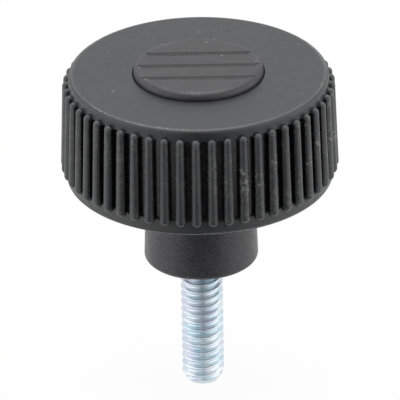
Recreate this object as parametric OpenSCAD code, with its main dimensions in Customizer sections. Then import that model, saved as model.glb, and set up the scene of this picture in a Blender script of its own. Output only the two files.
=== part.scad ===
// Knurled hand knob with a threaded stud
//
// Three pieces: a moulded knob body with a ribbed head and a hub, a cover cap that clips into
// the top of the head, and a steel stud that is moulded into the hub.
// Millimetres. The origin is the centre of the hub's lower face, the face that seats on the
// work. +Z runs up through the head, and the stud points down along -Z.

/* [Head] */
// Diameter over the ribs, at their lower ends
head_d = 40; // [34:0.5:60]
// Height of the head, from its lower edge to the flat top face
head_h = 16.2; // [13:0.1:24]
// Lean of the side wall and of the ribs, the draft of the mould, in degrees
head_draft = 2.3; // [0.5:0.1:4]
// Rounding of the edge of the top face
top_edge_r = 0.55; // [0.2:0.05:0.8]
// Rounding of the lower edge of the head
low_edge_r = 0.45; // [0.2:0.05:0.8]
// Thickness of the plate under the top face
plate_t = 3.4; // [2.8:0.1:5]
// Thickness of the rim wall behind the floors of the grooves
rim_t = 2.2; // [1.4:0.1:3.5]

/* [Ribs] */
// Number of ribs round the head
rib_count = 53; // [36:1:56]
// Angle of the first rib, counted from the +X axis
rib_start = 3.6; // [0:0.1:10]
// How far the ribs stand out from the smooth bands
rib_rise = 0.85; // [0.85:0.05:1.1]
// Width of a rib at its upper end
rib_top_w = 1.25; // [0.8:0.05:1.5]
// Width of a rib at its lower end
rib_low_w = 1.6; // [1:0.05:1.65]
// Depth of the grooves between the ribs, below the crests
groove_depth = 1.3; // [1.1:0.05:1.6]
// How far the round ends of a groove stay inside those of the ribs
groove_inset = 0.3; // [0.25:0.05:1]
// Height of the smooth band above the ribs
top_band_h = 1.2; // [0.8:0.1:4]
// Height of the smooth band below the ribs
low_band_h = 1.45; // [0.8:0.1:4]

/* [Hub] */
// Diameter of the hub at its seating face
hub_d = 16.6; // [14.5:0.1:20]
// Height of the hub, from its seating face to the lower edge of the head
hub_h = 13.3; // [10:0.1:25]
// Lean of the hub's side, in degrees
hub_draft = 2.1; // [0.5:0.1:2.5]
// Rounding of the edge of the seating face
hub_edge_r = 0.6; // [0.2:0.05:1.2]
// Gap all round between the stud and the wall of the relief in the seating face
relief_gap = 0.5; // [0.3:0.1:1.5]
// Depth of that relief, which keeps the thread's first turn clear of the face
relief_depth = 0.4; // [0.2:0.1:0.8]
// Number of webs between the hub and the rim, under the head
web_count = 4; // [3:1:8]
// Thickness of a web
web_t = 1.6; // [1:0.1:2.5]
// How far the lower edges of the webs stay above the lower edge of the head
web_inset = 3; // [1:0.5:6]

/* [Cover cap] */
// Diameter of the cover cap
cap_d = 18.7; // [16:0.1:24]
// How far the cap stands above the top face
cap_rise = 1.1; // [0.8:0.05:2]
// Depth of the cap's seat below the top face
seat_depth = 1.4; // [1.2:0.1:2]
// Gap all round between the cap and the wall of its seat
cap_gap = 0.15; // [0.1:0.05:0.4]
// Rounding of the side of the cap, up to its face
cap_edge_r = 1.05; // [0.8:0.05:1.1]
// How much the flat face takes off the top of that round
cap_face_trim = 0.03; // [0.02:0.01:0.1]
// Thickness of the cap's skin
cap_skin = 1.4; // [1.2:0.1:1.8]
// Number of steps across the cap
step_count = 3; // [1:1:4]
// Distance between two steps
step_pitch = 3.9; // [3:0.1:4]
// Height of a step
step_h = 0.1; // [0.06:0.02:0.3]
// How far the slope in front of a step runs until it is back at the face
step_run = 1.4; // [0.8:0.1:2.8]
// Run over which a notch's steep side drops
riser_run = 0.08; // [0.02:0.02:0.2]
// How far the steps as a group lie behind the middle of the cap
step_shift = 0.45; // [-1:0.05:1]
// Outer diameter of the clip ring under the cap
clip_d = 9.2; // [8:0.1:9.6]
// Wall of the clip ring
clip_wall = 1.1; // [0.8:0.1:1.5]
// How far the clip ring reaches below the cap's seat
clip_len = 4.2; // [3:0.1:6]
// How far the bead of the clip ring stands out
clip_bead = 0.4; // [0.2:0.05:0.6]
// Gap all round between the clip ring and its socket
clip_gap = 0.15; // [0.1:0.05:0.3]
// Width of the slots that split the clip ring into fingers
clip_slot_w = 1.6; // [1:0.1:2.5]

/* [Stud] */
// Outer diameter of the thread, 1/4 inch
stud_d = 6.35; // [5:0.05:8]
// Length of the thread below the seating face
stud_len = 20.4; // [10:0.1:50]
// Length of the chamfer at the tip
tip_h = 1.1; // [0.6:0.1:1.6]
// Diameter of the flat end of the tip
tip_d = 4.7; // [3:0.1:4.8]
// Diameter of the neck between the thread and the anchor
neck_d = 4.8; // [4:0.1:4.9]
// Height of the neck above the seating face
neck_h = 1.5; // [1:0.1:3]
// Diameter over the teeth of the knurled anchor inside the hub
anchor_d = 8.4; // [7.6:0.1:9.6]
// Number of teeth on the anchor
anchor_teeth = 24; // [16:1:32]
// Depth of the anchor's teeth
tooth_depth = 0.35; // [0.2:0.05:0.5]
// Length of each of the anchor's two toothed bands
anchor_band_h = 3; // [2:0.1:3.5]
// Diameter of the waist between the two bands
waist_d = 6.8; // [6:0.1:7]
// Height of the waist
waist_h = 1.6; // [1:0.1:2]

/* [Hidden] */

// Facets: large rounds, and the small rounds of ribs and grooves
$fn = 128;
small_fn = 32;
// Overlap that lets one shape run clear through another
over = 1;

// Heights above the seating face
top_z = hub_h + head_h;
seat_z = top_z - seat_depth;
cap_top_z = top_z + cap_rise;
ceiling_z = top_z - plate_t;

// Heights of the centres of the round ends of a rib, and of a groove, which ends a little
// sooner
rib_low_z = hub_h + low_band_h + rib_low_w / 2;
rib_top_z = top_z - top_band_h - rib_top_w / 2;
groove_low_z = rib_low_z + groove_inset;
groove_top_z = rib_top_z - groove_inset;

// The side of the head leans in as it rises: the crests, the bands and the groove floors
// are three parallel lines in section
function crest_r(z) = head_d / 2 - (z - rib_low_z) * tan(head_draft);
function band_r(z) = crest_r(z) - rib_rise;
function floor_r(z) = crest_r(z) - groove_depth;
function rim_inner_r(z) = floor_r(z) - rim_t;
function hub_r(z) = hub_d / 2 - z * tan(hub_draft);

// A rib runs between these two points, given as [radius, height], on the plane from which its
// half-round crest rises
rib_low = [crest_r(rib_low_z) - rib_low_w / 2, rib_low_z];
rib_top = [crest_r(rib_top_z) - rib_top_w / 2, rib_top_z];

// A groove runs along its floor, and it fills the space between two ribs and bites a little
// into their flanks
flank_bite = 0.05;
rib_angle = 360 / rib_count;
groove_low = [floor_r(groove_low_z), groove_low_z];
groove_top = [floor_r(groove_top_z), groove_top_z];
groove_low_w = 2 * rib_low[0] * sin(rib_angle / 2) - rib_low_w + 2 * flank_bite;
groove_top_w = 2 * rib_top[0] * sin(rib_angle / 2) - rib_top_w + 2 * flank_bite;

// Relief in the seating face
relief_d = stud_d + 2 * relief_gap;

// Underside of the head
recess_bevel = 1;
web_low_z = hub_h + web_inset;

// Cap, clip ring and socket
cap_r = cap_d / 2;
cap_seat_r = cap_r + cap_gap;
cap_wall = 1.2;
clip_r = clip_d / 2;
clip_low_z = seat_z - clip_len;
socket_r = clip_r + clip_gap;
socket_end_gap = 0.6;
socket_low_z = clip_low_z - socket_end_gap;
bead_h = 1.2;

// Anchor
anchor_low_z = neck_h;
waist_low_z = anchor_low_z + anchor_band_h;
waist_top_z = waist_low_z + waist_h;
anchor_top_z = waist_top_z + anchor_band_h;

// ---------- profiles, as (radius, height) ----------

// A round corner of radius r between a level edge at height z and a side that leans by draft
// and passes through radius side_at at the height of the corner's centre
function corner_centre(side_at, z, r, draft) = [side_at - r / cos(draft), z];
function on_side(c, r, draft) = c + r * [cos(draft), sin(draft)];

// Section of the head, solid to the axis
module head_section() {
    top_c = corner_centre(band_r(top_z - top_edge_r), top_z - top_edge_r, top_edge_r, head_draft);
    low_c = corner_centre(band_r(hub_h + low_edge_r), hub_h + low_edge_r, low_edge_r, head_draft);
    polygon([
        [0, hub_h],
        [low_c[0], hub_h],
        on_side(low_c, low_edge_r, head_draft),
        on_side(top_c, top_edge_r, head_draft),
        [top_c[0], top_z],
        [0, top_z]
    ]);
    translate(top_c) circle(top_edge_r);
    translate(low_c) circle(low_edge_r);
}

// Section of the hub, from the seating face up into the plate
module hub_section() {
    c = corner_centre(hub_r(hub_edge_r), hub_edge_r, hub_edge_r, hub_draft);
    polygon([
        [0, 0],
        [c[0], 0],
        on_side(c, hub_edge_r, hub_draft),
        [hub_r(top_z - over), top_z - over],
        [0, top_z - over]
    ]);
    translate(c) circle(hub_edge_r);
}

// Section of the ring-shaped recess under the head, with a bevel in either corner of its ceiling
module recess_section() {
    low_z = hub_h - over;
    bevel_z = ceiling_z - recess_bevel;
    polygon([
        [hub_r(low_z), low_z],
        [rim_inner_r(low_z), low_z],
        [rim_inner_r(bevel_z), bevel_z],
        [rim_inner_r(ceiling_z) - recess_bevel, ceiling_z],
        [hub_r(ceiling_z) + recess_bevel, ceiling_z],
        [hub_r(bevel_z), bevel_z]
    ]);
}

// Section of the clip ring's bead, or of the groove that takes it with a gap round it
module bead_section(gap) {
    mid_z = clip_low_z + bead_h / 2 + clip_wall / 2;
    out_r = clip_r + clip_bead + gap;
    polygon([
        [clip_r - clip_wall / 2, mid_z - bead_h / 2 - gap],
        [clip_r + gap / 2, mid_z - bead_h / 2 - gap],
        [out_r, mid_z - gap / 2],
        [out_r, mid_z + gap / 2],
        [clip_r + gap / 2, mid_z + bead_h / 2 + gap],
        [clip_r - clip_wall / 2, mid_z + bead_h / 2 + gap]
    ]);
}

// Section of the seat for the cap and of the socket for its clip ring
module seat_section() {
    translate([0, seat_z]) square([cap_seat_r, seat_depth + over]);
    translate([0, socket_low_z]) square([socket_r, seat_z - socket_low_z + over]);
    bead_section(clip_gap);
}

// ---------- ribs and grooves ----------

// A slim outline with round ends, which narrows from low_w to top_w over the length len
module tapered_outline(low_w, top_w, len) {
    circle(d = low_w, $fn = small_fn);
    translate([0, len]) circle(d = top_w, $fn = small_fn);
    polygon([[-low_w / 2, 0], [low_w / 2, 0], [top_w / 2, len], [-top_w / 2, len]]);
}

// The half-round crest that rises from such an outline
module crest(low_w, top_w, len) {
    rotate([-90, 0, 0])
        rotate([0, 0, 180])
            rotate_extrude(angle = 180, $fn = small_fn)
                intersection() {
                    tapered_outline(low_w, top_w, len);
                    translate([0, -low_w]) square([low_w + top_w, len + low_w + top_w]);
                }
}

module rib() {
    len = norm(rib_top - rib_low);
    crest(rib_low_w, rib_top_w, len);
    translate([0, 0, -groove_depth])
        linear_extrude(groove_depth) tapered_outline(rib_low_w, rib_top_w, len);
}

module groove() {
    linear_extrude(groove_depth + over)
        tapered_outline(groove_low_w, groove_top_w, norm(groove_top - groove_low));
}

// Stands what lies along +Y, face up, against the side of the head, at an angle round it and
// from one [radius, height] point to another
module on_side_of_head(angle, low, top) {
    rotate([0, 0, angle])
        translate([low[0], 0, low[1]])
            rotate([0, atan2(top[0] - low[0], top[1] - low[1]), 0])
                rotate([90, 0, 90])
                    children();
}

module ribs() {
    for (i = [0 : rib_count - 1])
        on_side_of_head(rib_start + i * rib_angle, rib_low, rib_top) rib();
}

module grooves() {
    for (i = [0 : rib_count - 1])
        on_side_of_head(rib_start + (i + 0.5) * rib_angle, groove_low, groove_top) groove();
}

// ---------- knob body ----------

// Thin radial walls that join the hub to the rim under the plate
module webs() {
    from_r = (socket_r + clip_bead + hub_r(ceiling_z)) / 2;
    to_r = rim_inner_r(ceiling_z) + rim_t / 2;
    for (i = [0 : web_count - 1])
        rotate([0, 0, (i + 0.5) * 360 / web_count])
            translate([from_r, -web_t / 2, web_low_z])
                cube([to_r - from_r, web_t, ceiling_z - web_low_z + plate_t / 4]);
}

module knob_body() {
    color("#2b2c2e")
        difference() {
            union() {
                difference() {
                    union() {
                        rotate_extrude() difference() {
                            union() {
                                head_section();
                                hub_section();
                            }
                            recess_section();
                        }
                        ribs();
                    }
                    grooves();
                }
                webs();
            }
            rotate_extrude() seat_section();
            stud_anchor();
            translate([0, 0, -over]) cylinder(d = relief_d, h = relief_depth + over);
        }
}

// ---------- cover cap ----------

// Shallow notches across the cap: each drops by step_h and then climbs back to the face
module step_notches() {
    rear_y = step_shift + (step_count - 1) * step_pitch / 2;
    for (i = [0 : step_count - 1])
        translate([0, rear_y - i * step_pitch, cap_top_z])
            rotate([90, 0, -90])
                linear_extrude(cap_d + over, center = true)
                    polygon([
                        [0, over],
                        [0, 0],
                        [riser_run, -step_h],
                        [step_run, 0],
                        [step_run, over]
                    ]);
}

// Section of the cap: its side rises straight out of the seat and then rounds over, and the
// flat face cuts the round off just below its top, which leaves a fine edge round the face
module cap_section() {
    round_at = [cap_r - cap_edge_r, cap_top_z + cap_face_trim - cap_edge_r];
    difference() {
        union() {
            translate([0, seat_z]) square([cap_r, round_at[1] - seat_z]);
            translate([0, seat_z]) square([round_at[0], cap_top_z - seat_z]);
            intersection() {
                translate(round_at) circle(cap_edge_r);
                translate([0, seat_z]) square([cap_d, cap_top_z - seat_z]);
            }
        }
        translate([0, seat_z - over])
            square([cap_r - cap_wall, cap_top_z - cap_skin - seat_z + over]);
    }
}

module clip_ring() {
    difference() {
        rotate_extrude() {
            translate([clip_r - clip_wall, clip_low_z])
                square([clip_wall, cap_top_z - cap_skin / 2 - clip_low_z]);
            bead_section(0);
        }
        for (a = [0, 90])
            rotate([0, 0, a])
                translate([-clip_d, -clip_slot_w / 2, clip_low_z - over])
                    cube([2 * clip_d, clip_slot_w, seat_z - clip_low_z + over]);
    }
}

module cover_cap() {
    color("#36373a")
        difference() {
            union() {
                rotate_extrude() cap_section();
                clip_ring();
            }
            step_notches();
        }
}

// ---------- threaded stud ----------

module toothed_band(z) {
    half = 180 / anchor_teeth;
    outer = anchor_d / 2;
    inner = outer - tooth_depth;
    translate([0, 0, z])
        linear_extrude(anchor_band_h)
            polygon([for (i = [0 : 2 * anchor_teeth - 1])
                (i % 2 == 0 ? outer : inner) * [cos(i * half), sin(i * half)]]);
}

// The part of the stud that lies inside the hub
module stud_anchor() {
    cylinder(d = neck_d, h = neck_h);
    toothed_band(anchor_low_z);
    translate([0, 0, waist_low_z]) cylinder(d = waist_d, h = waist_h);
    toothed_band(waist_top_z);
}

module threaded_stud() {
    color("#c3ccd4") {
        stud_anchor();
        translate([0, 0, -stud_len + tip_h]) cylinder(d = stud_d, h = stud_len - tip_h);
        translate([0, 0, -stud_len]) cylinder(d1 = tip_d, d2 = stud_d, h = tip_h);
    }
}

knob_body();
cover_cap();
threaded_stud();
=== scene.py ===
# %% [markdown]
# # A ribbed hand knob on a threaded stud
#
# The real object is a black plastic knob that is turned by hand. Its head has a ring of ribs
# for grip, a round cap clips into the top, and a zinc-plated steel stud is moulded into the
# hub. This lesson dresses the finished CAD model: it gives each piece its real surface, cuts
# the thread that the CAD model leaves plain, and sets up a small light tent round it.
#
# The first step loads the CAD model. Its pieces stay where they are, and everything made
# here is placed around them, in metres.

# %% Load the knob
import math

import bmesh
import bpy
from mathutils import Matrix, Vector


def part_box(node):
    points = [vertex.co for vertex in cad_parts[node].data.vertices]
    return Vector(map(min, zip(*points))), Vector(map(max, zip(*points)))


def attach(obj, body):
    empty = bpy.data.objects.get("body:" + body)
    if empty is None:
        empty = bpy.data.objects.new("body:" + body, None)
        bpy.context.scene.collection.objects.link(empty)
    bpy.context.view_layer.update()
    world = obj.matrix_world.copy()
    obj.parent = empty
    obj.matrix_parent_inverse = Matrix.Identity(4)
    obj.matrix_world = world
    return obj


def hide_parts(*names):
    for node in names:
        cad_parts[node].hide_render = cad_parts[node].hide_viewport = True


MM = 0.001


def in_mm(value):
    """A length in millimetres, rounded for printing."""
    return round(value / MM, 2)


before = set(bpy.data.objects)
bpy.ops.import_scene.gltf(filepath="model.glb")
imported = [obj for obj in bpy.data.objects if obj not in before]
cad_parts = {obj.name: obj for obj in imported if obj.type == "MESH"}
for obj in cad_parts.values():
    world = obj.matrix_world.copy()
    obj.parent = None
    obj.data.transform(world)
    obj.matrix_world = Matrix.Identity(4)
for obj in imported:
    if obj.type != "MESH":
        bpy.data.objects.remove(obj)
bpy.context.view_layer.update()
knob_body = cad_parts["knob_body"]
cover_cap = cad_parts["cover_cap"]
print("pieces:", sorted(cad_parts))

# %% [markdown]
# ## Heights taken from the CAD model
#
# The seating face of the hub is at height zero. The stud hangs below it, and the cap is the
# highest piece. The heights of the stud's tip, the head's top and the cap's top could be
# typed in, but the pieces' own boxes hold them, and so they stay true when the CAD model
# changes.

# %% Read the heights
stud_tip_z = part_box("threaded_stud")[0].z
cap_top_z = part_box("cover_cap")[1].z
head_top_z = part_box("knob_body")[1].z
print("stud tip at", in_mm(stud_tip_z), "mm, top face at", in_mm(head_top_z), "mm")

# %% [markdown]
# ## Node trees in one line each
#
# Every material and every Geometry Nodes tree below is built from the same three moves: add
# a node, set some of its sockets, and link others. One helper does all three, so that a tree
# reads like a list of steps. The others stand for the nodes that come back most often:
# arithmetic, a product, and a stretch of numbers that is mapped onto another one.

# %% Helpers for node trees
def add_node(tree, kind, inputs=None, **settings):
    """Adds a node. An input is a value for its socket, or another node's output to link."""
    node = tree.nodes.new(kind)
    for name, value in settings.items():
        setattr(node, name, value)
    for key, value in (inputs or {}).items():
        if isinstance(value, bpy.types.NodeSocket):
            tree.links.new(value, node.inputs[key])
        else:
            node.inputs[key].default_value = value
    return node


def math_node(tree, operation, *values):
    """A Math node whose inputs are given in order. It returns the node's output."""
    inputs = {place: value for place, value in enumerate(values)}
    return add_node(tree, "ShaderNodeMath", inputs, operation=operation).outputs[0]


def times(tree, product, *factors):
    """All the values multiplied together."""
    for factor in factors:
        product = math_node(tree, "MULTIPLY", product, factor)
    return product


def spread(tree, value, low, high, to_low=0.0, to_high=1.0, curve="LINEAR"):
    """Maps the stretch from low to high onto another one, and holds it at both ends."""
    return add_node(tree, "ShaderNodeMapRange",
                    {"Value": value, "From Min": low, "From Max": high,
                     "To Min": to_low, "To Max": to_high},
                    interpolation_type=curve).outputs[0]


print("helpers are ready")

# %% [markdown]
# ## The camera
#
# The knob is seen from a little above, with its axis upright. A short lens close by would
# make the head bulge towards the viewer. A long lens held far away keeps the circles of the
# head close to true ellipses, as a product shot does. The camera stands on a sphere round the
# knob and looks at a point on its axis.

# %% Place the camera
CAMERA_DISTANCE = 702.3 * MM
CAMERA_ELEVATION = math.radians(28.48)
CAMERA_AZIMUTH = math.radians(0.15)
CAMERA_ROLL = math.radians(0.93)
CAMERA_AIM = Vector((-0.075 * MM, 0, 8.88 * MM))
LENS_MM = 434.3
CLIP_NEAR = 0.05
CLIP_FAR = 20.0


def make_camera():
    """The camera on its sphere, turned to its aim and then rolled a little."""
    data = bpy.data.cameras.new("product_camera")
    data.lens = LENS_MM
    data.clip_start = CLIP_NEAR
    data.clip_end = CLIP_FAR
    camera = bpy.data.objects.new("product_camera", data)
    bpy.context.collection.objects.link(camera)
    level = CAMERA_DISTANCE * math.cos(CAMERA_ELEVATION)
    camera.location = (level * math.sin(CAMERA_AZIMUTH), -level * math.cos(CAMERA_AZIMUTH),
                       CAMERA_DISTANCE * math.sin(CAMERA_ELEVATION))
    facing = (CAMERA_AIM - camera.location).to_track_quat("-Z", "Y").to_matrix()
    turned = facing @ Matrix.Rotation(-CAMERA_ROLL, 3, "Z")
    camera.rotation_euler = turned.to_euler()
    bpy.context.scene.camera = camera
    return camera


camera = make_camera()
print("camera at", [in_mm(v) for v in camera.location], "mm")

# %% [markdown]
# ## A tree with named inputs
#
# A Geometry Nodes tree can be used like a tool with settings. Each size of the thread becomes
# a named input of its tree, so that the same tree could cut another thread. Fixed numbers
# inside the nodes would do for one bar, but nobody could tell later what they stand for.

# %% Start a Geometry Nodes tree
def new_tree(name, sizes):
    """A Geometry Nodes tree with one named input for each size, and its two end nodes."""
    tree = bpy.data.node_groups.new(name, "GeometryNodeTree")
    tree.interface.new_socket("Geometry", in_out="INPUT", socket_type="NodeSocketGeometry")
    tree.interface.new_socket("Geometry", in_out="OUTPUT", socket_type="NodeSocketGeometry")
    for size, (kind, value) in sizes.items():
        socket = tree.interface.new_socket(size, in_out="INPUT", socket_type=kind)
        if value is not None:
            socket.default_value = value
    return tree, tree.nodes.new("NodeGroupInput").outputs, tree.nodes.new("NodeGroupOutput")


print("ready to grow trees")

# %% [markdown]
# ## The profile of the thread
#
# The CAD stud is a plain bar, because so fine a thread would make the CAD model heavy. The
# real one has a rolled 1/4 inch thread with 20 turns to the inch. A plain V would be simpler,
# but it would look cut: rolling squeezes the crests up and leaves them round. So the profile
# is the mean of a straight flank and a soft wave. The tip is chamfered, and the radius is held
# under a cone there. At the seating face the bar closes in to the neck of the anchor.

# %% The thread's radius
MM_PER_INCH = 25.4
TURNS_PER_INCH = 20
THREAD_PITCH = MM_PER_INCH / TURNS_PER_INCH * MM
THREAD_LENGTH = -stud_tip_z
THREAD_CREST_R = 3.08 * MM
THREAD_ROOT_R = 2.42 * MM
NECK_R = 2.4 * MM
TIP_R = 2.35 * MM
TIP_LENGTH = 1.1 * MM
FLANK_STARTS = 0.1
FLANK_ENDS = 0.8
WAVE_ENDS = 0.9
FACE_TOUCH = 0.001 * MM
HALF = 0.5


def ridge_radius(tree, given, along):
    """The radius of the ridge and the root, by the place along the thread in turns."""
    in_turn = math_node(tree, "FRACT", along)
    # 0 on the crest and 1 at the root
    off_crest = math_node(tree, "ABSOLUTE", math_node(
        tree, "SUBTRACT", times(tree, in_turn, 2.0), 1.0))
    crest, root = given["Crest Radius"], given["Root Radius"]
    flank = spread(tree, off_crest, FLANK_STARTS, FLANK_ENDS, crest, root)
    wave = spread(tree, off_crest, 0.0, WAVE_ENDS, crest, root, curve="SMOOTHSTEP")
    return times(tree, math_node(tree, "ADD", flank, wave), HALF)


def thread_radius(tree, given, along, free_z, z, low_z):
    """The ridge's radius, held under the chamfer of the tip, and the neck's at the face."""
    chamfer_z = math_node(tree, "ADD", low_z, given["Tip Length"])
    chamfer = spread(tree, z, low_z, chamfer_z, given["Tip Radius"], given["Crest Radius"])
    bar = math_node(tree, "MINIMUM", ridge_radius(tree, given, along), chamfer)
    at_face = math_node(tree, "GREATER_THAN", free_z, -FACE_TOUCH)
    return add_node(tree, "GeometryNodeSwitch",
                    {"Switch": at_face, "False": bar, "True": given["Neck Radius"]},
                    input_type="FLOAT").outputs[0]


print("thread:", round(THREAD_LENGTH / THREAD_PITCH, 1), "turns of", in_mm(THREAD_PITCH), "mm")

# %% [markdown]
# ## A grid whose rows are the thread
#
# A thread could be screwed up by hand in a mesh, but it follows a rule, so Geometry Nodes suit
# it. They start from a flat grid: its columns stand for the sides of the bar, and its rows lie
# along the thread, so that the edges of the thread stay crisp. A grid that lay straight across
# the bar would need far more rows, and would still cut the crests into steps.

# %% Lay out the grid
THREAD_SIDES = 96
ROWS_PER_TURN = 16


def thread_inputs():
    """The sizes of the thread, each with its kind of socket."""
    number, whole = "NodeSocketFloat", "NodeSocketInt"
    return {
        "Pitch": (number, THREAD_PITCH),
        "Length": (number, THREAD_LENGTH),
        "Crest Radius": (number, THREAD_CREST_R),
        "Root Radius": (number, THREAD_ROOT_R),
        "Neck Radius": (number, NECK_R),
        "Tip Radius": (number, TIP_R),
        "Tip Length": (number, TIP_LENGTH),
        "Sides": (whole, THREAD_SIDES),
        "Rows per Turn": (whole, ROWS_PER_TURN),
        "Metal": ("NodeSocketMaterial", None),
    }


def thread_grid(tree, given):
    """A flat grid, and each point's place round the bar and along the thread, in turns."""
    turns = math_node(tree, "ADD", math_node(tree, "DIVIDE", given["Length"], given["Pitch"]), 1.0)
    rows = math_node(tree, "CEIL", times(tree, turns, given["Rows per Turn"]))
    grid = add_node(tree, "GeometryNodeMeshGrid", {
        "Size X": 1.0, "Size Y": 1.0,
        "Vertices X": math_node(tree, "ADD", given["Sides"], 1.0),
        "Vertices Y": math_node(tree, "ADD", rows, 1.0)})
    position = add_node(tree, "GeometryNodeInputPosition").outputs[0]
    place = add_node(tree, "ShaderNodeSeparateXYZ", {0: position}).outputs
    around = math_node(tree, "ADD", place["X"], HALF)
    row = times(tree, math_node(tree, "ADD", place["Y"], HALF), rows)
    along = math_node(tree, "DIVIDE", row, given["Rows per Turn"])
    return grid.outputs[0], around, along


print("grid:", THREAD_SIDES, "sides,", ROWS_PER_TURN, "rows for each turn")

# %% [markdown]
# ## Wrapping the grid round the axis
#
# The grid is bent into a tube whose rows climb like a staircase, and the place in the turn
# sets how far each row stands out. Each point could be moved in several steps, but one Set
# Position node that is given the final place is easier to read. Where the rows would leave
# the bar at either end they are pressed flat, and the points that meet there are merged.

# %% Grow the thread
MERGE_GAP = 0.002 * MM


def wrapped(tree, around, radius, z):
    """The place of each point, once the grid is wrapped round the axis."""
    angle = times(tree, around, math.tau)
    return add_node(tree, "ShaderNodeCombineXYZ", {
        "X": times(tree, math_node(tree, "COSINE", angle), radius),
        "Y": times(tree, math_node(tree, "SINE", angle), radius),
        "Z": z}).outputs[0]


def thread_tree():
    """The whole thread, from the grid to a bar with its material."""
    tree, given, result = new_tree("rolled_thread", thread_inputs())
    grid, around, along = thread_grid(tree, given)
    climb = math_node(tree, "SUBTRACT", math_node(tree, "ADD", along, around), 1.0)
    free_z = math_node(tree, "SUBTRACT", times(tree, climb, given["Pitch"]), given["Length"])
    low_z = times(tree, given["Length"], -1.0)
    z = math_node(tree, "MINIMUM", math_node(tree, "MAXIMUM", free_z, low_z), 0.0)
    radius = thread_radius(tree, given, along, free_z, z, low_z)
    bar = add_node(tree, "GeometryNodeSetPosition",
                   {"Geometry": grid, "Position": wrapped(tree, around, radius, z)})
    closed = add_node(tree, "GeometryNodeMergeByDistance",
                      {"Geometry": bar.outputs[0], "Distance": MERGE_GAP})
    real = add_node(tree, "GeometryNodeRealizeInstances", {0: closed.outputs[0]})
    finished = add_node(tree, "GeometryNodeSetMaterial",
                        {"Geometry": real.outputs[0], "Material": given["Metal"]})
    tree.links.new(finished.outputs[0], result.inputs[0])
    return tree


rolled_thread = thread_tree()
print("thread tree:", len(rolled_thread.nodes), "nodes")

# %% [markdown]
# ## Patterns for the surfaces
#
# A real surface is never one flat colour, and an image of it would slide or smear on the
# ribs. Noise that is worked out from the place on the object has no seams and costs no file.
# Each pattern below is written as five numbers: how often it repeats in a metre, how much
# detail it has, how rough that detail is, and the stretch of the noise that becomes a patch.

# %% Helpers for materials
MIX_SHARE = 0
MIX_FIRST = 6
MIX_SECOND = 7
MIX_RESULT = 2
PLAIN_NOISE = 0.55


def new_material(name):
    """A material with an empty tree, its tree and its shader."""
    material = bpy.data.materials.new(name)
    material.use_nodes = True
    tree = material.node_tree
    tree.nodes.clear()
    shader = add_node(tree, "ShaderNodeBsdfPrincipled")
    add_node(tree, "ShaderNodeOutputMaterial", {"Surface": shader.outputs[0]})
    return material, tree, shader


def place_on_object(tree):
    """The place on the object, in metres, which every pattern is worked out from."""
    return add_node(tree, "ShaderNodeTexCoord").outputs["Object"]


def noise(tree, place, scale, detail, roughness=PLAIN_NOISE):
    """A noise pattern; the scale is in repeats for each metre."""
    return add_node(tree, "ShaderNodeTexNoise",
                    {"Vector": place, "Scale": scale, "Detail": detail,
                     "Roughness": roughness}).outputs[0]


def patches(tree, place, pattern, to_low=0.0, to_high=1.0):
    """Noise turned into patches, by the five numbers of a pattern."""
    scale, detail, roughness, low, high = pattern
    return spread(tree, noise(tree, place, scale, detail, roughness), low, high, to_low, to_high)


def mix_colour(tree, share, first, second):
    """Mixes two colours. Each is an (r, g, b) triple or another node's output."""
    node = add_node(tree, "ShaderNodeMix", {MIX_SHARE: share}, data_type="RGBA")
    for key, colour in ((MIX_FIRST, first), (MIX_SECOND, second)):
        if isinstance(colour, bpy.types.NodeSocket):
            tree.links.new(colour, node.inputs[key])
        else:
            node.inputs[key].default_value = (*colour, 1.0)
    return node.outputs[MIX_RESULT]


print("material helpers are ready")

# %% [markdown]
# ## Zinc on the stud
#
# Zinc plating is bright and slightly blue. The clear film that protects it is so thin that it
# takes on faint colours, and they drift from teal to lilac in patches a few turns long. A
# plain grey metal would look like bare steel. A metal shader gives the brightness, two slow
# patterns move the tint, and a fine one breaks up the gloss.

# %% The zinc plate
FILM_TEAL = (0.52, 0.67, 0.75)
FILM_PALE = (0.77, 0.82, 0.85)
FILM_LILAC = (0.65, 0.68, 0.78)
FILM_DRIFT = (330.0, 2.0, PLAIN_NOISE, 0.36, 0.64)
LILAC_DRIFT = (210.0, 1.0, PLAIN_NOISE, 0.42, 0.62)
ZINC_GRAIN = (2500.0, 3.0, PLAIN_NOISE, 0.3, 0.7)
ZINC_SMOOTHEST = 0.29
ZINC_ROUGHEST = 0.36


def zinc():
    """Bright metal with a drifting tint."""
    material, tree, shader = new_material("zinc_plate")
    place = place_on_object(tree)
    film = mix_colour(tree, patches(tree, place, FILM_DRIFT), FILM_TEAL, FILM_PALE)
    film = mix_colour(tree, patches(tree, place, LILAC_DRIFT), film, FILM_LILAC)
    grain = patches(tree, place, ZINC_GRAIN, ZINC_SMOOTHEST, ZINC_ROUGHEST)
    tree.links.new(film, shader.inputs["Base Color"])
    tree.links.new(grain, shader.inputs["Roughness"])
    shader.inputs["Metallic"].default_value = 1.0
    return material


zinc_plate = zinc()
print("made", zinc_plate.name)

# %% [markdown]
# ## Cutting the thread
#
# A tree only describes the thread. A modifier on an empty mesh runs it, and the result is
# taken out as a plain mesh, so that the finished stud carries no live modifier. The modifier's
# inputs are set by their identifiers, because two inputs of a tree may share a name. The bar
# is open at both ends where the grid stopped, and one flat face closes each end.

# %% Run the tree
def grown(name, tree, sizes):
    """Runs a tree on an empty mesh, with these sizes, and returns the result as a mesh."""
    seed = bpy.data.objects.new(name + "_seed", bpy.data.meshes.new(name + "_seed"))
    bpy.context.collection.objects.link(seed)
    modifier = seed.modifiers.new(name, "NODES")
    modifier.node_group = tree
    for item in tree.interface.items_tree:
        if item.in_out == "INPUT" and item.name in sizes:
            modifier[item.identifier] = sizes[item.name]
    evaluated = seed.evaluated_get(bpy.context.evaluated_depsgraph_get())
    mesh = bpy.data.meshes.new_from_object(evaluated)
    mesh.name = name
    bpy.data.objects.remove(seed)
    return mesh


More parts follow.
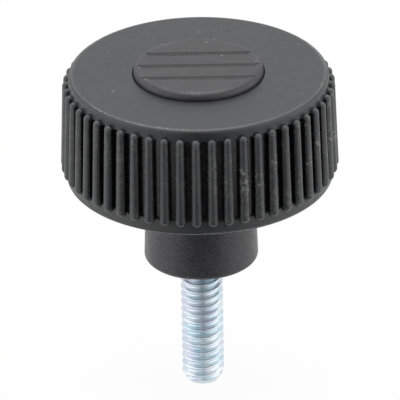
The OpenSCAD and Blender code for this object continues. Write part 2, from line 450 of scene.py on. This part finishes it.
def close_rims(mesh):
    """Fills every open rim with one flat face."""
    bmesh.ops.holes_fill(mesh, edges=[edge for edge in mesh.edges if edge.is_boundary])


def threaded_bar():
    """The thread as a closed mesh whose faces point outwards."""
    bar = bmesh.new()
    bar.from_mesh(grown("rolled_thread", rolled_thread, {"Metal": zinc_plate}))
    close_rims(bar)
    bmesh.ops.recalc_face_normals(bar, faces=bar.faces)
    return bar


bar = threaded_bar()
print("bar:", len(bar.faces), "faces")

# %% [markdown]
# ## Keeping the anchor
#
# Above the seating face the stud has a neck and a knurled anchor that the plastic grips. They
# are hidden inside the hub and already have their true form, so modelling them again would
# only bring in errors. They are copied from the CAD stud: the copy is merged first, because
# its triangles are loose, and what lies below the face is cut away.

# %% Copy the anchor
LOOSE_GAP = 0.0005 * MM
SEATING_Z = 0.001 * MM


def merged_copy(node):
    """The triangles of a CAD piece, joined up."""
    mesh = bmesh.new()
    mesh.from_mesh(node.data)
    bmesh.ops.remove_doubles(mesh, verts=mesh.verts, dist=LOOSE_GAP)
    return mesh


def stud_anchor():
    """The part of the CAD stud above the seating face, closed."""
    anchor = merged_copy(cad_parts["threaded_stud"])
    below = [face for face in anchor.faces if all(v.co.z < SEATING_Z for v in face.verts)]
    bmesh.ops.delete(anchor, geom=below, context="FACES")
    close_rims(anchor)
    bmesh.ops.recalc_face_normals(anchor, faces=anchor.faces)
    return anchor


anchor = stud_anchor()
print("anchor:", len(anchor.faces), "faces")

# %% [markdown]
# ## The finished stud
#
# Thread and anchor are one piece of steel, so they become one mesh. Smooth shading keeps the
# facets of the thread from showing, and edges sharper than a limit stay crisp, such as the
# teeth of the anchor. The piece then stands in for the plain CAD stud and rides with the knob.

# %% Join the stud
SHARP_FROM = math.radians(40)


def join_stud(bar, anchor):
    """The bar and its anchor as one piece."""
    anchor_mesh = bpy.data.meshes.new("anchor")
    anchor.to_mesh(anchor_mesh)
    bar.from_mesh(anchor_mesh)
    mesh = bpy.data.meshes.new("rolled_stud")
    bar.to_mesh(mesh)
    mesh.materials.clear()
    mesh.materials.append(zinc_plate)
    for face in mesh.polygons:
        face.use_smooth = True
    mesh.set_sharp_from_angle(angle=SHARP_FROM)
    stud = bpy.data.objects.new("rolled_stud", mesh)
    bpy.context.collection.objects.link(stud)
    return stud


rolled_stud = join_stud(bar, anchor)
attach(rolled_stud, "root")
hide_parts("threaded_stud")
open_edges = sum(edge.is_boundary for edge in bar.edges)
print("stud:", len(rolled_stud.data.polygons), "faces,", open_edges, "open edges")

# %% [markdown]
# ## Where hands and benches rub, and where sheen and shade are painted
#
# A knob wears where it is touched. The crests of the ribs, the smooth bands above and below
# them and the edge of the top turn paler, partly from wear and partly as painted sheen, with a
# painted highlight along the edge. The grooves between the ribs get painted shade and are
# slightly smoother. Painting these places by hand would take an image. They all follow from
# the shape, so they are found by measuring from the axis and along it. The crests lie on a
# cone, because the head is drafted to leave its mould.

# %% Find the worn places on the head, and where light and shade are painted
RIB_CREST_R = 20.0 * MM
RIB_LOW_Z = 15.55 * MM
RIB_TOP_Z = 27.68 * MM
HEAD_DRAFT = math.tan(math.radians(2.3))
RUB_ENDS = -0.65 * MM
RUB_FULL = -0.20 * MM
GRIP_FADE = 0.1 * MM
BAND_FADE = 0.2 * MM
UPPER_BAND_FULL = 0.5 * MM
UPPER_BAND_RUB = 0.15
OUTER_FROM_R = 17.0 * MM
RIM_R = 18.1 * MM
RIM_W = 0.24 * MM
RIM_FULL_W = 0.3 * RIM_W
RIM_STARTS = 0.3 * MM
RIM_FULL = 0.1 * MM


def from_axis(tree, place):
    """How far a place is from the axis, and its three coordinates."""
    parts = add_node(tree, "ShaderNodeSeparateXYZ", {0: place}).outputs
    squares = [times(tree, parts[axis], parts[axis]) for axis in "XY"]
    return math_node(tree, "SQRT", math_node(tree, "ADD", *squares)), parts


def rib_crests(tree, radius, height):
    """1 on the crests of the ribs, 0 down in the grooves."""
    climb = math_node(tree, "SUBTRACT", height, RIB_LOW_Z)
    crest = math_node(tree, "SUBTRACT", RIB_CREST_R, times(tree, climb, HEAD_DRAFT))
    return spread(tree, math_node(tree, "SUBTRACT", radius, crest), RUB_ENDS, RUB_FULL)


def on_outside(tree, radius):
    """1 on the outside of the head, 0 in its recess and on the hub."""
    return math_node(tree, "GREATER_THAN", radius, OUTER_FROM_R)


def grooves(tree, radius, height, crests):
    """1 between the ribs, 0 everywhere else."""
    above_start = spread(tree, height, RIB_LOW_Z, RIB_LOW_Z + GRIP_FADE)
    below_end = spread(tree, height, RIB_TOP_Z, RIB_TOP_Z - GRIP_FADE)
    off_crest = math_node(tree, "SUBTRACT", 1.0, crests)
    return times(tree, above_start, below_end, on_outside(tree, radius), off_crest)


def bands(tree, radius, height):
    """How much rub and painted sheen the bands take: 1 below the ribs, and less above them."""
    above_ribs = spread(tree, height, RIB_TOP_Z, RIB_TOP_Z + BAND_FADE)
    under_top = spread(tree, height, head_top_z - BAND_FADE, head_top_z - UPPER_BAND_FULL)
    upper = times(tree, above_ribs, under_top, UPPER_BAND_RUB)
    lower = spread(tree, height, RIB_LOW_Z, RIB_LOW_Z - BAND_FADE)
    return times(tree, on_outside(tree, radius), math_node(tree, "MAXIMUM", upper, lower))


def rim(tree, radius, height):
    """1 on the edge of the top face."""
    off_edge = math_node(tree, "ABSOLUTE", math_node(tree, "SUBTRACT", radius, RIM_R))
    at_top = spread(tree, height, head_top_z - RIM_STARTS, head_top_z - RIM_FULL)
    return times(tree, spread(tree, off_edge, RIM_W, RIM_FULL_W), at_top)


print("ribs from", in_mm(RIB_LOW_Z), "to", in_mm(RIB_TOP_Z), "mm, edge at", in_mm(RIM_R), "mm")

# %% [markdown]
# ## Dust, scuffs and knocks
#
# Three kinds of small pale marks tell the eye that the plastic is real. Dust lies anywhere, as
# single specks: the cells of a Voronoi pattern, of which a few are drawn. Scuffs are finer,
# and knocks are larger and sit half-way up the ribs, most of them on one side. Spread evenly,
# scuffs and knocks would look like grain. Real ones come in clusters, so each is one pattern
# inside another: a slow one for where the cluster lies and a fine one for its marks.

# %% The small marks
DUST_COLOUR = (0.22, 0.22, 0.21)
DUST_SCALE = 900.0
DUST_SIZE = 0.20
DUST_FADE = 0.25 * DUST_SIZE
SCUFF_COLOUR = (0.30, 0.30, 0.30)
SCUFF_CLUSTERS = (130.0, 1.0, PLAIN_NOISE, 0.50, 0.62)
SCUFF_MARKS = (2600.0, 4.0, 0.75, 0.52, 0.66)
KNOCK_CLUSTERS = (260.0, 1.0, PLAIN_NOISE, 0.50, 0.58)
KNOCK_MARKS = (1700.0, 4.0, 0.7, 0.54, 0.62)
KNOCKED_FROM_X = 1.0 * MM
KNOCKED_TO_X = 7.0 * MM
KNOCKED_FROM_Z = 18.5 * MM
KNOCKED_TO_Z = 20.5 * MM
KNOCKS_ASIDE = 0.2
KNOCKS_BELOW = 0.1


def dust(tree, place, share):
    """Specks of a random size and place, in this share of the cells."""
    cells = add_node(tree, "ShaderNodeTexVoronoi", {"Vector": place, "Scale": DUST_SCALE})
    drawn = add_node(tree, "ShaderNodeSeparateColor", {0: cells.outputs["Color"]}).outputs
    reach = times(tree, drawn["Green"], DUST_SIZE)
    inside = math_node(tree, "SUBTRACT", reach, cells.outputs["Distance"])
    kept = math_node(tree, "LESS_THAN", drawn["Red"], share)
    return times(tree, spread(tree, inside, 0.0, DUST_FADE), kept)


def scuffs(tree, place, where):
    """Small pale marks in clusters, on the places that are given."""
    cluster = patches(tree, place, SCUFF_CLUSTERS)
    return times(tree, where, cluster, patches(tree, place, SCUFF_MARKS))


def knocks(tree, place, parts, crests):
    """Larger pale marks half-way up the ribs, most of them on the side that was knocked."""
    aside = spread(tree, parts["X"], KNOCKED_FROM_X, KNOCKED_TO_X, KNOCKS_ASIDE, 1.0)
    halfway = spread(tree, parts["Z"], KNOCKED_FROM_Z, KNOCKED_TO_Z, KNOCKS_BELOW, 1.0)
    cluster = patches(tree, place, KNOCK_CLUSTERS)
    return times(tree, crests, aside, halfway, cluster, patches(tree, place, KNOCK_MARKS))


print("dust cells of", in_mm(1 / DUST_SCALE), "mm")

# %% [markdown]
# ## What both plastics share
#
# The body and the cap come out of steel moulds, so they are evenly dark with a satin skin. A
# black with nothing on it would look painted. What the eye reads as plastic is a faint
# cloudiness in the colour, a fine grain from the mould, and gloss that changes slowly from
# place to place. The grain is a bump, because it is far too small to be worth faces.

# %% Moulded plastic
PLASTIC_IOR = 1.58
CLOUDS = (140.0, 4.0, PLAIN_NOISE, 0.3, 0.7)
SKIN = (900.0, 3.0, PLAIN_NOISE, 0.3, 0.7)
MOULD_GRAIN = (3200.0, 4.0, 0.6)
BUMP_STRENGTH = 0.25
BUMP_DEPTH = 0.02 * MM


def start_plastic(name, dark, light):
    """A plastic material with its cloudy colour, and the place to measure from."""
    material, tree, shader = new_material(name)
    shader.inputs["IOR"].default_value = PLASTIC_IOR
    place = place_on_object(tree)
    colour = mix_colour(tree, patches(tree, place, CLOUDS), dark, light)
    return material, tree, shader, place, colour


def finish_plastic(tree, shader, colour, rough, relief):
    """Links the colour, the roughness and the relief to the shader."""
    bump = add_node(tree, "ShaderNodeBump",
                    {"Height": relief, "Strength": BUMP_STRENGTH, "Distance": BUMP_DEPTH})
    tree.links.new(colour, shader.inputs["Base Color"])
    tree.links.new(rough, shader.inputs["Roughness"])
    tree.links.new(bump.outputs[0], shader.inputs["Normal"])


print("clouds of", in_mm(1 / CLOUDS[0]), "mm, grain of", in_mm(1 / MOULD_GRAIN[0]), "mm")

# %% [markdown]
# ## Wear and painted sheen on the body
#
# Rubbing turns black plastic grey, and it never does so evenly. Here the same pale colour also
# stands in as painted sheen on the crests and the bands. One pale colour over each worn place
# would look like a coat of paint. So the colour is broken up by patches. The edge of the top,
# which is rubbed the most, gets a paler one, which is also a painted highlight along the edge.

# %% Wear the body, with painted sheen and highlight
RUB_AND_SHEEN_COLOUR = (0.048, 0.049, 0.052)
PAINTED_HIGHLIGHT_COLOUR = (0.065, 0.065, 0.067)
RUB_PATCHES = (1300.0, 4.0, 0.65, 0.3, 0.6)
RUB_LEAST = 0.60
CREST_SCUFFS = 0.5


def rubbed(tree, place, colour, crests, band, edge):
    """The colour with the worn places on it, which also take painted sheen and a painted
    highlight.
    """
    patchy = patches(tree, place, RUB_PATCHES, RUB_LEAST, 1.0)
    rub = math_node(tree, "MAXIMUM", crests, band)
    # Rub and painted sheen on the crests and the bands.
    colour = mix_colour(tree, times(tree, rub, patchy), colour, RUB_AND_SHEEN_COLOUR)
    # Wear and a painted highlight on the edge of the top.
    return mix_colour(tree, times(tree, edge, patchy), colour, PAINTED_HIGHLIGHT_COLOUR)


def body_marks(tree, place, parts, crests, edge):
    """Scuffs on the edge and the crests, and knocks on the crests."""
    where = math_node(tree, "MAXIMUM", edge, times(tree, crests, CREST_SCUFFS))
    return math_node(tree, "MAXIMUM", scuffs(tree, place, where),
                     knocks(tree, place, parts, crests))


print("a worn place takes", RUB_LEAST, "to 1.0 of its colour")

# %% [markdown]
# ## The plastic of the body
#
# The head is satin, rubbed, and given painted sheen, highlight and shade in the places found
# above. The hub came from a coarser part of the mould and was never touched, so it is speckled
# and grainier. One material covers both, and a mask by height changes over from one to the
# other, because they are one moulding and a second material would leave a hard line between them.

# %% Make the body's plastic
BODY_DARK = (0.0150, 0.0162, 0.0188)
BODY_LIGHT = (0.0176, 0.0188, 0.0214)
HUB_DARK = (0.010, 0.010, 0.014)
HUB_LIGHT = (0.062, 0.062, 0.068)
HUB_SPECKLE = (4200.0, 3.0, 0.6, 0.36, 0.64)
HUB_TOP_Z = 13.2 * MM
HUB_FADE = 0.2 * MM
HUB_GRAIN = 2.4
GROOVE_SHADE_COLOUR = (0.007, 0.007, 0.009)
GROOVE_SMOOTHER = 0.13
BODY_SMOOTHEST = 0.33
BODY_ROUGHEST = 0.45
BODY_DUST = 0.09
FINE_SKIN = (2600.0, 3.0, 0.7, 0.4, 0.6)
FINE_ROUGH = 0.04


def body_rough(tree, place, groove):
    """The roughness of the body: patchy, with a fine grain, and lower in the grooves."""
    rough = patches(tree, place, SKIN, BODY_SMOOTHEST, BODY_ROUGHEST)
    rough = math_node(tree, "SUBTRACT", rough, times(tree, groove, GROOVE_SMOOTHER))
    fine = patches(tree, place, FINE_SKIN, -FINE_ROUGH, FINE_ROUGH)
    return math_node(tree, "ADD", rough, fine)


def body_material():
    """The plastic of the head and the hub."""
    material, tree, shader, place, colour = start_plastic("moulded_body", BODY_DARK, BODY_LIGHT)
    radius, parts = from_axis(tree, place)
    height = parts["Z"]
    crests = rib_crests(tree, radius, height)
    groove = grooves(tree, radius, height, crests)
    edge = rim(tree, radius, height)
    on_hub = spread(tree, height, HUB_TOP_Z, HUB_TOP_Z - HUB_FADE)
    speckle = mix_colour(tree, patches(tree, place, HUB_SPECKLE), HUB_DARK, HUB_LIGHT)
    colour = mix_colour(tree, on_hub, colour, speckle)
    # Painted shade in the grooves between the ribs.
    colour = mix_colour(tree, groove, colour, GROOVE_SHADE_COLOUR)
    colour = rubbed(tree, place, colour, crests, bands(tree, radius, height), edge)
    colour = mix_colour(tree, body_marks(tree, place, parts, crests, edge), colour, SCUFF_COLOUR)
    colour = mix_colour(tree, dust(tree, place, BODY_DUST), colour, DUST_COLOUR)
    depth = spread(tree, on_hub, 0.0, 1.0, 1.0, HUB_GRAIN)
    relief = times(tree, noise(tree, place, *MOULD_GRAIN), depth)
    finish_plastic(tree, shader, colour, body_rough(tree, place, groove), relief)
    return material


body_plastic = body_material()
print("made", body_plastic.name, "with", len(body_plastic.node_tree.nodes), "nodes")

# %% [markdown]
# ## The notches of the cap
#
# Three shallow notches run across the cap. Their colour is darkened as painted shade, and they
# are duller than its face. Their steep side gets a pale line, which is a painted highlight.
# Stripes could be drawn across the face, but the notches are real geometry, so the material
# measures how far a place lies below the face. Only the steep side is too narrow for that. It
# is placed by its distance from the rear edge of its notch.

# %% Find the notches of the cap
CAP_FACE_R = 8.2 * MM
NOTCH_DEPTH = 0.1 * MM
NOTCH_SKIN = 0.02 * NOTCH_DEPTH
NOTCH_PITCH = 3.9 * MM
NOTCH_Y = 0.45 * MM
NOTCH_STEEP_W = 0.09 * MM


def notch_depth(tree, radius, height):
    """How deep a place lies in a notch, from 0 on the face to 1 at the bottom."""
    on_face = math_node(tree, "LESS_THAN", radius, CAP_FACE_R)
    return times(tree, on_face,
                 spread(tree, height, cap_top_z - NOTCH_SKIN, cap_top_z - NOTCH_DEPTH))


def steep_side(tree, y, deep):
    """1 on the steep side of a notch. The notches lie one pitch apart."""
    ahead = math_node(tree, "WRAP", math_node(tree, "SUBTRACT", NOTCH_Y, y), NOTCH_PITCH, 0.0)
    in_notch = math_node(tree, "GREATER_THAN", deep, 0.0)
    return times(tree, in_notch, math_node(tree, "LESS_THAN", ahead, NOTCH_STEEP_W))


print("notches", in_mm(NOTCH_DEPTH), "mm deep, one each", in_mm(NOTCH_PITCH), "mm")

# %% [markdown]
# ## The gloss of the cap
#
# The cap's face was milled in its mould from side to side, which leaves hairlines. They could
# be many thin cuts, but they are finer than anything the mesh should carry. Noise that is
# drawn out from side to side gives the same streaks. They drive the gloss here and the relief
# below, so that a line looks cut and not drawn on.

# %% The cap's hairlines and gloss
HAIRLINE_DRAW = (0.02, 1.0, 0.0)
HAIRLINE_SCALE = 2600.0
HAIRLINE_DETAIL = 2.0
HAIRLINE_FROM = 0.35
HAIRLINE_TO = 0.65
HAIRLINE_ROUGH = 0.05
CAP_SMOOTHEST = 0.35
CAP_ROUGHEST = 0.47
NOTCH_SHOWS = 0.3
NOTCH_ROUGH = 0.16


def hairlines(tree, place):
    """Noise drawn out from side to side."""
    drawn_out = add_node(tree, "ShaderNodeVectorMath", {0: place, 1: HAIRLINE_DRAW},
                         operation="MULTIPLY").outputs[0]
    return noise(tree, drawn_out, HAIRLINE_SCALE, HAIRLINE_DETAIL)


def cap_rough(tree, place, lines, deep):
    """The roughness of the cap: patchy, streaked, and higher in the notches."""
    rough = patches(tree, place, SKIN, CAP_SMOOTHEST, CAP_ROUGHEST)
    streaks = spread(tree, lines, HAIRLINE_FROM, HAIRLINE_TO, HAIRLINE_ROUGH, -HAIRLINE_ROUGH)
    rough = math_node(tree, "ADD", rough, streaks)
    return math_node(tree, "ADD", rough, spread(tree, deep, 0.0, NOTCH_SHOWS, 0.0, NOTCH_ROUGH))


print("hairlines of", in_mm(1 / HAIRLINE_SCALE), "mm")

# %% [markdown]
# ## The plastic of the cap
#
# The cap was moulded apart from the body, and its black is a shade warmer. Its face could
# have been split into several materials, one for each notch, but then every edge would be a
# hard line. One material that is told how deep each place lies covers the face, the notches
# with their painted shade, their steep sides with their painted highlight, and the scuffs on
# the edge round the face.

# %% Make the cap's plastic
CAP_DARK = (0.0170, 0.0168, 0.0200)
CAP_LIGHT = (0.0200, 0.0198, 0.0230)
CAP_DUST = 0.04
CAP_EDGE_W = 0.3 * MM
CAP_EDGE_DROP = 4 * NOTCH_DEPTH
NOTCH_SHADE_COLOUR = (0.004, 0.004, 0.006)
HAIRLINE_RELIEF = 3.0


def cap_edge(tree, radius, height):
    """1 on the edge round the cap's face."""
    return times(tree, spread(tree, radius, CAP_FACE_R - CAP_EDGE_W, CAP_FACE_R),
                 spread(tree, height, cap_top_z - CAP_EDGE_DROP, cap_top_z))


def cap_material():
    """The plastic of the cap."""
    material, tree, shader, place, colour = start_plastic("moulded_cap", CAP_DARK, CAP_LIGHT)
    radius, parts = from_axis(tree, place)
    deep = notch_depth(tree, radius, parts["Z"])
    # Painted shade in the notches, darker where they are deeper.
    colour = mix_colour(tree, spread(tree, deep, 0.0, NOTCH_SHOWS), colour, NOTCH_SHADE_COLOUR)
    # A painted highlight: a pale line on the steep side of each notch.
    colour = mix_colour(tree, steep_side(tree, parts["Y"], deep), colour, PAINTED_HIGHLIGHT_COLOUR)
    edge = cap_edge(tree, radius, parts["Z"])
    colour = mix_colour(tree, scuffs(tree, place, edge), colour, SCUFF_COLOUR)
    colour = mix_colour(tree, dust(tree, place, CAP_DUST), colour, DUST_COLOUR)
    lines = hairlines(tree, place)
    relief = math_node(tree, "ADD", noise(tree, place, *MOULD_GRAIN),
                       times(tree, lines, HAIRLINE_RELIEF))
    finish_plastic(tree, shader, colour, cap_rough(tree, place, lines, deep), relief)
    return material


cap_plastic = cap_material()
print("made", cap_plastic.name, "with", len(cap_plastic.node_tree.nodes), "nodes")

# %% [markdown]
# ## Dressing the body and the cap
#
# The body and the cap already have their true shape in CAD, so no new meshes are made for
# them. They only trade their plain materials for the two plastics.

# %% Dress the two plastic pieces
def dress(piece, material):
    """Gives a CAD piece one material in place of its own."""
    piece.data.materials.clear()
    piece.data.materials.append(material)


dress(knob_body, body_plastic)
dress(cover_cap, cap_plastic)
print("dressed the body and the cap")

# %% [markdown]
# ## A white floor
#
# A satin black part is mostly drawn by what it mirrors, so the set round it matters as much
# as its colour. The floor could be lit until it is white, but that light would also flood the
# knob. Instead its material shows plain white to the eye and in reflections, with a small
# share of real shading, so that it still takes a soft shadow of the knob.

# %% The floor
FLOOR_HALF_W = 3.0
FLOOR_GLOW = 0.95
FLOOR_ROUGH = 0.9
FLOOR_COLOUR = (0.85, 0.85, 0.85, 1.0)
WHITE = (1.0, 1.0, 1.0, 1.0)


def sheet(name, corners, material):
    """A flat sheet of the set, which isn't part of the knob."""
    mesh = bpy.data.meshes.new(name)
    mesh.from_pydata(corners, [], [(0, 1, 2, 3)])
    mesh.materials.append(material)
    piece = bpy.data.objects.new(name, mesh)
    bpy.context.collection.objects.link(piece)
    return piece


def level_corners(x0, x1, y0, y1, z):
    """The four corners of a level sheet."""
    return [(x0, y0, z), (x1, y0, z), (x1, y1, z), (x0, y1, z)]


def seen_directly(tree):
    """1 for rays that show the set itself: to the camera, in a mirror or through glass."""
    ray = add_node(tree, "ShaderNodeLightPath").outputs
    mirrored = math_node(tree, "MAXIMUM", ray["Is Glossy Ray"], ray["Is Transmission Ray"])
    return math_node(tree, "MAXIMUM", ray["Is Camera Ray"], mirrored)


def white_floor():
    """White where it is seen, with a small share of real shading."""
    material, tree, shader = new_material("white_floor")
    shader.inputs["Roughness"].default_value = FLOOR_ROUGH
    shader.inputs["Base Color"].default_value = FLOOR_COLOUR
    glow = add_node(tree, "ShaderNodeEmission", {"Color": WHITE, "Strength": 1.0})
    share = times(tree, seen_directly(tree), FLOOR_GLOW)
    both = add_node(tree, "ShaderNodeMixShader",
                    {0: share, 1: shader.outputs[0], 2: glow.outputs[0]})
    output = [node for node in tree.nodes if node.type == "OUTPUT_MATERIAL"][0]
    tree.links.new(both.outputs[0], output.inputs["Surface"])
    return material


floor = sheet("floor", level_corners(-FLOOR_HALF_W, FLOOR_HALF_W, -FLOOR_HALF_W, FLOOR_HALF_W,
                                     stud_tip_z), white_floor())
print("laid the", floor.name, "at", in_mm(stud_tip_z), "mm")

# %% [markdown]
# ## A black flag in front
#
# In a studio, black cloth is hung where a glossy part should mirror darkness. Darker paint
# would do that too, but it would be just as dark from every side. Here one strip of cloth
# lies in front of the knob, and one hangs behind the camera. The side of the knob that faces
# the viewer mirrors the lying strip and turns dark, while the white floor on both sides of
# the strip draws a light line on the flanks of the ribs. The hanging strip puts the dark
# streak down the middle of the steel. The camera itself doesn't see the cloth.

# %% Lay out the flag
LYING_LEFT_X = -0.046
LYING_RIGHT_X = 0.053
HANGING_HALF_W = 0.2
FLAG_NEAR_Y = -0.034
FLAG_FAR_Y = -0.9
FLAG_TOP_Z = 0.9
FLAG_LIFT = 0.001
CLOTH_COLOUR = (0.01, 0.01, 0.01, 1.0)


def black_cloth():
    """Dull black cloth."""
    material, _, shader = new_material("black_cloth")
    shader.inputs["Roughness"].default_value = 1.0
    shader.inputs["Base Color"].default_value = CLOTH_COLOUR
    return material


def upright_corners(half_w, y, z0, z1):
    """The four corners of an upright sheet."""
    return [(-half_w, y, z0), (half_w, y, z0), (half_w, y, z1), (-half_w, y, z1)]


def hang_flag():
    """Both strips of cloth, which the camera doesn't see and which throw no shadow."""
    cloth = black_cloth()
    low_z = stud_tip_z + FLAG_LIFT
    strips = {
        "flag_lying": level_corners(LYING_LEFT_X, LYING_RIGHT_X, FLAG_FAR_Y, FLAG_NEAR_Y, low_z),
        "flag_hanging": upright_corners(HANGING_HALF_W, FLAG_FAR_Y, low_z, FLAG_TOP_Z),
    }
    for name, corners in strips.items():
        flag = sheet(name, corners, cloth)
        flag.visible_camera = False
        flag.visible_shadow = False
    return strips


flags = hang_flag()
print("laid out", sorted(flags))

# %% [markdown]
# ## A light tent and three soft boxes
#
# The tent is the world: it is white where it is seen or mirrored, and dimmer as a source of
# light, because a full white tent would wash the plastic out. A wide soft box above gives the
# top edge and the cap their light rim, and two weak ones at the sides lift the steel. Together
# they keep a plain level, so that each colour renders about as it is written.

# %% The surrounds and the lamps
TENT_GLOW = 1.0
TENT_LIGHT = 0.6
SIDE_LAMP_W = 0.6
SIDE_LAMP_SIZE = (0.6, 0.5)
SIDE_LAMP_X = 0.45
SIDE_LAMP_Y = -0.05
SIDE_LAMP_Z = 0.15
TOP_LAMP_W = 3.0
TOP_LAMP_SIZE = (0.7, 0.7)
TOP_LAMP_PLACE = (0.0, 0.15, 0.7)
LAMP_AIM = Vector((0, 0, 0.01))


def make_world():
    """The light tent round the whole set."""
    world = bpy.data.worlds.new("light_tent")
    bpy.context.scene.world = world
    world.use_nodes = True
    tree = world.node_tree
    tree.nodes.clear()
    strength = spread(tree, seen_directly(tree), 0.0, 1.0, TENT_LIGHT, TENT_GLOW)
    glow = add_node(tree, "ShaderNodeBackground", {"Color": WHITE, "Strength": strength})
    add_node(tree, "ShaderNodeOutputWorld", {"Surface": glow.outputs[0]})


def soft_box(name, place, size, power):
    """A rectangular lamp that points at the knob."""
    data = bpy.data.lights.new(name, "AREA")
    data.shape = "RECTANGLE"
    data.size, data.size_y = size
    data.energy = power
    lamp = bpy.data.objects.new(name, data)
    lamp.location = place
    lamp.rotation_euler = (LAMP_AIM - Vector(place)).to_track_quat("-Z", "Y").to_euler()
    bpy.context.collection.objects.link(lamp)


make_world()
soft_box("left_box", (-SIDE_LAMP_X, SIDE_LAMP_Y, SIDE_LAMP_Z), SIDE_LAMP_SIZE, SIDE_LAMP_W)
soft_box("right_box", (SIDE_LAMP_X, SIDE_LAMP_Y, SIDE_LAMP_Z), SIDE_LAMP_SIZE, SIDE_LAMP_W)
soft_box("top_box", TOP_LAMP_PLACE, TOP_LAMP_SIZE, TOP_LAMP_W)
bpy.context.scene.view_settings.view_transform = "Standard"
print("set the tent and", len(bpy.data.lights), "soft boxes")
